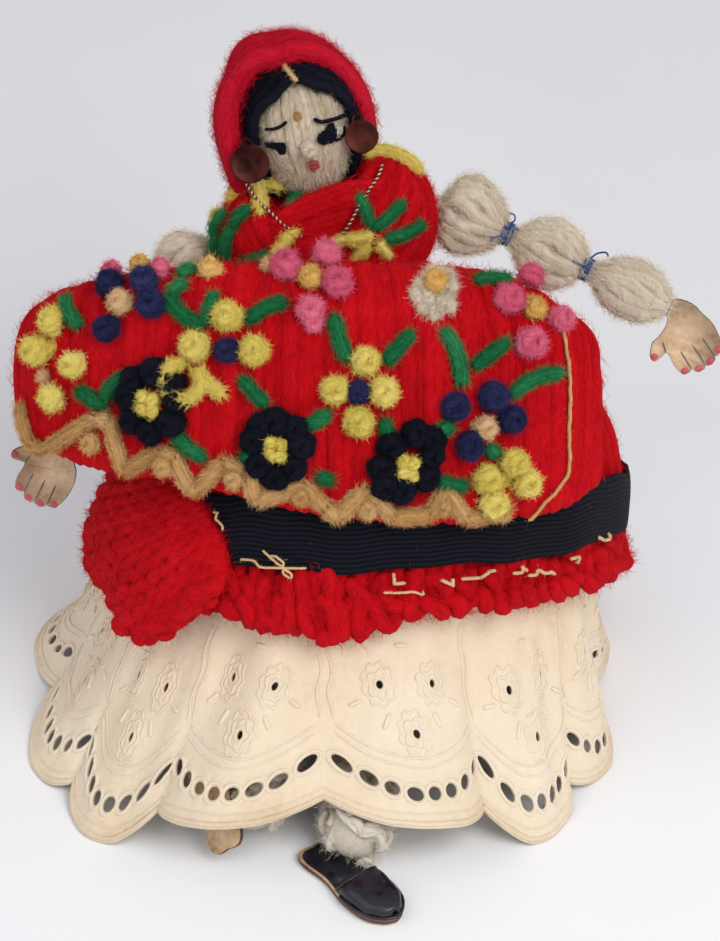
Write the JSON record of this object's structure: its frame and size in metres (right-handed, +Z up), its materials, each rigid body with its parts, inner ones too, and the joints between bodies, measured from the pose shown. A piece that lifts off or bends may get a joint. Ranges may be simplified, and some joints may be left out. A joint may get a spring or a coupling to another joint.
{
  "type": "yarn doll",
  "caption": "Doll of wool yarn on bending wire, leaning back on wide skirts in folk dress, with embroidered apron, headscarf, flat hands and shoes.",
  "frame": {"origin": "centre of the footprint, on the table", "axes": "+Z up from the table, +X to the doll's left hand side as seen in the picture's right, -Y towards the viewer and the feet"},
  "size_m": [0.1288, 0.1186, 0.1218],
  "materials": {
    "red_wool": "thick red wool yarn, slightly fuzzy",
    "cream_wool": "natural cream wool yarn",
    "face_wool": "natural wool strands laid over a ball",
    "dark_wool": "blue-black wool yarn",
    "yellow_wool": "yellow wool yarn",
    "pink_wool": "pink wool yarn",
    "navy_wool": "navy wool yarn",
    "tan_wool": "tan wool yarn",
    "dark_tape": "ribbed near-black tape",
    "eyelet_cotton": "cream cotton with embroidered eyelets",
    "blue_thread": "blue sewing thread",
    "painted_card": "tan card-like thin leather, nails painted on",
    "black_leather": "glossy black thin leather",
    "copper": "dark copper",
    "steel_wire": "bright steel wire"
  },
  "bodies": {
    "root": {"skirt": "red_wool", "skirt_ribbon": "dark_tape", "skirt_frill": "red_wool", "petticoat": "eyelet_cotton", "apron": "red_wool", "apron_flowers_top_left": "navy_wool", "apron_flower_yellow_outer": "yellow_wool", "apron_flower_black_left": "dark_wool", "apron_flower_yellow_left": "yellow_wool", "apron_flower_pink_middle": "pink_wool", "apron_flower_black_middle": "dark_wool", "apron_flower_yellow_middle": "yellow_wool", "apron_flower_cream": "cream_wool", "apron_flower_black_right": "dark_wool", "apron_flower_navy_right": "navy_wool", "apron_flower_pink_right": "pink_wool", "apron_flower_yellow_right": "yellow_wool", "apron_zigzag": "tan_wool", "body_core": "cream_wool", "spine_wire": "steel_wire", "shoulder_wire": "steel_wire", "shawl_left": "red_wool", "shawl_right": "red_wool", "neck": "cream_wool", "neck_wire": "steel_wire", "necklace": "copper"},
    "head": {"head_ball": "face_wool", "hair": "dark_wool", "headscarf": "red_wool", "eye_left": "dark_wool", "eye_right": "dark_wool", "mouth_stitch": "pink_wool", "parting_stitch": "cream_wool", "nose_knot": "cream_wool"},
    "earring_right": {"earring_right": "copper"},
    "upper_arm_right": {"upper_sleeve_right": "cream_wool", "elbow_tie_right": "blue_thread", "upper_arm_wire_right": "steel_wire"},
    "forearm_right": {"middle_sleeve_right": "cream_wool", "forearm_tie_right": "blue_thread", "lower_sleeve_right": "cream_wool", "forearm_wire_right": "steel_wire"},
    "hand_right": {"hand_right": "painted_card"},
    "leg_right": {"leg_right": "cream_wool", "leg_wire_right": "steel_wire"},
    "foot_right": {"sole_right": "painted_card", "shoe_upper_right": "black_leather"},
    "earring_left": {"earring_left": "copper"},
    "upper_arm_left": {"upper_sleeve_left": "cream_wool", "elbow_tie_left": "blue_thread", "upper_arm_wire_left": "steel_wire"},
    "forearm_left": {"middle_sleeve_left": "cream_wool", "forearm_tie_left": "blue_thread", "lower_sleeve_left": "cream_wool", "forearm_wire_left": "steel_wire"},
    "hand_left": {"hand_left": "painted_card"},
    "leg_left": {"leg_left": "cream_wool", "leg_wire_left": "steel_wire"},
    "foot_left": {"sole_left": "painted_card", "shoe_upper_left": "black_leather"}
  },
  "joints": [
    {"name": "neck_turn", "type": "hinge", "parent": "root", "child": "head", "pos_m": [-0.0099, 0.03299, 0.09297], "axis": [-0.1908, 0.4908, 0.8501], "range_deg": [-12, 7]},
    {"name": "earring_swing_right", "type": "hinge", "parent": "head", "child": "earring_right", "pos_m": [-0.00223, 0.03055, 0.10935], "axis": [0, 0.866, -0.5], "range_deg": [-20, 20]},
    {"name": "earring_swing_left", "type": "hinge", "parent": "head", "child": "earring_left", "pos_m": [-0.02186, 0.02865, 0.10604], "axis": [0, 0.866, -0.5], "range_deg": [-20, 20]},
    {"name": "shoulder_bend_right", "type": "hinge", "parent": "root", "child": "upper_arm_right", "pos_m": [0.0135, 0.03373, 0.09064], "axis": [0.0306, 0.8587, -0.5115], "range_deg": [-25, 8]},
    {"name": "elbow_bend_right", "type": "hinge", "parent": "upper_arm_right", "child": "forearm_right", "pos_m": [0.02647, 0.03043, 0.08589], "axis": [0.0306, 0.8587, -0.5115], "range_deg": [-22, 10]},
    {"name": "wrist_bend_right", "type": "hinge", "parent": "forearm_right", "child": "hand_right", "pos_m": [0.05459, 0.02328, 0.07556], "axis": [0.0306, 0.8587, -0.5115], "range_deg": [-20, 20]},
    {"name": "shoulder_bend_left", "type": "hinge", "parent": "root", "child": "upper_arm_left", "pos_m": [-0.0277, 0.03008, 0.08432], "axis": [0.0387, 0.8903, -0.4537], "range_deg": [-3, 20]},
    {"name": "elbow_bend_left", "type": "hinge", "parent": "upper_arm_left", "child": "forearm_left", "pos_m": [-0.03613, 0.02518, 0.074], "axis": [0.0387, 0.8903, -0.4537], "range_deg": [-4, 22]},
    {"name": "wrist_bend_left", "type": "hinge", "parent": "forearm_left", "child": "hand_left", "pos_m": [-0.05442, 0.01457, 0.05161], "axis": [0.0387, 0.8903, -0.4537], "range_deg": [-12, 20]},
    {"name": "hip_swing_right", "type": "hinge", "parent": "root", "child": "leg_right", "pos_m": [-0.0028, 0.00582, 0.0452], "axis": [0, 0, 1], "range_deg": [-4, 4]},
    {"name": "hip_swing_left", "type": "hinge", "parent": "root", "child": "leg_left", "pos_m": [-0.012, 0.00582, 0.0452], "axis": [0, 0, 1], "range_deg": [-2, 3]},
    {"name": "ankle_turn_right", "type": "hinge", "parent": "leg_right", "child": "foot_right", "pos_m": [-0.00375, -0.04697, 0.00035], "axis": [0, 0, 1], "range_deg": [-12, 12]},
    {"name": "ankle_turn_left", "type": "hinge", "parent": "leg_left", "child": "foot_left", "pos_m": [-0.02377, -0.036, 0.00911], "axis": [0.6775, 0.5486, -0.4899], "range_deg": [-8, 8]}
  ]
}
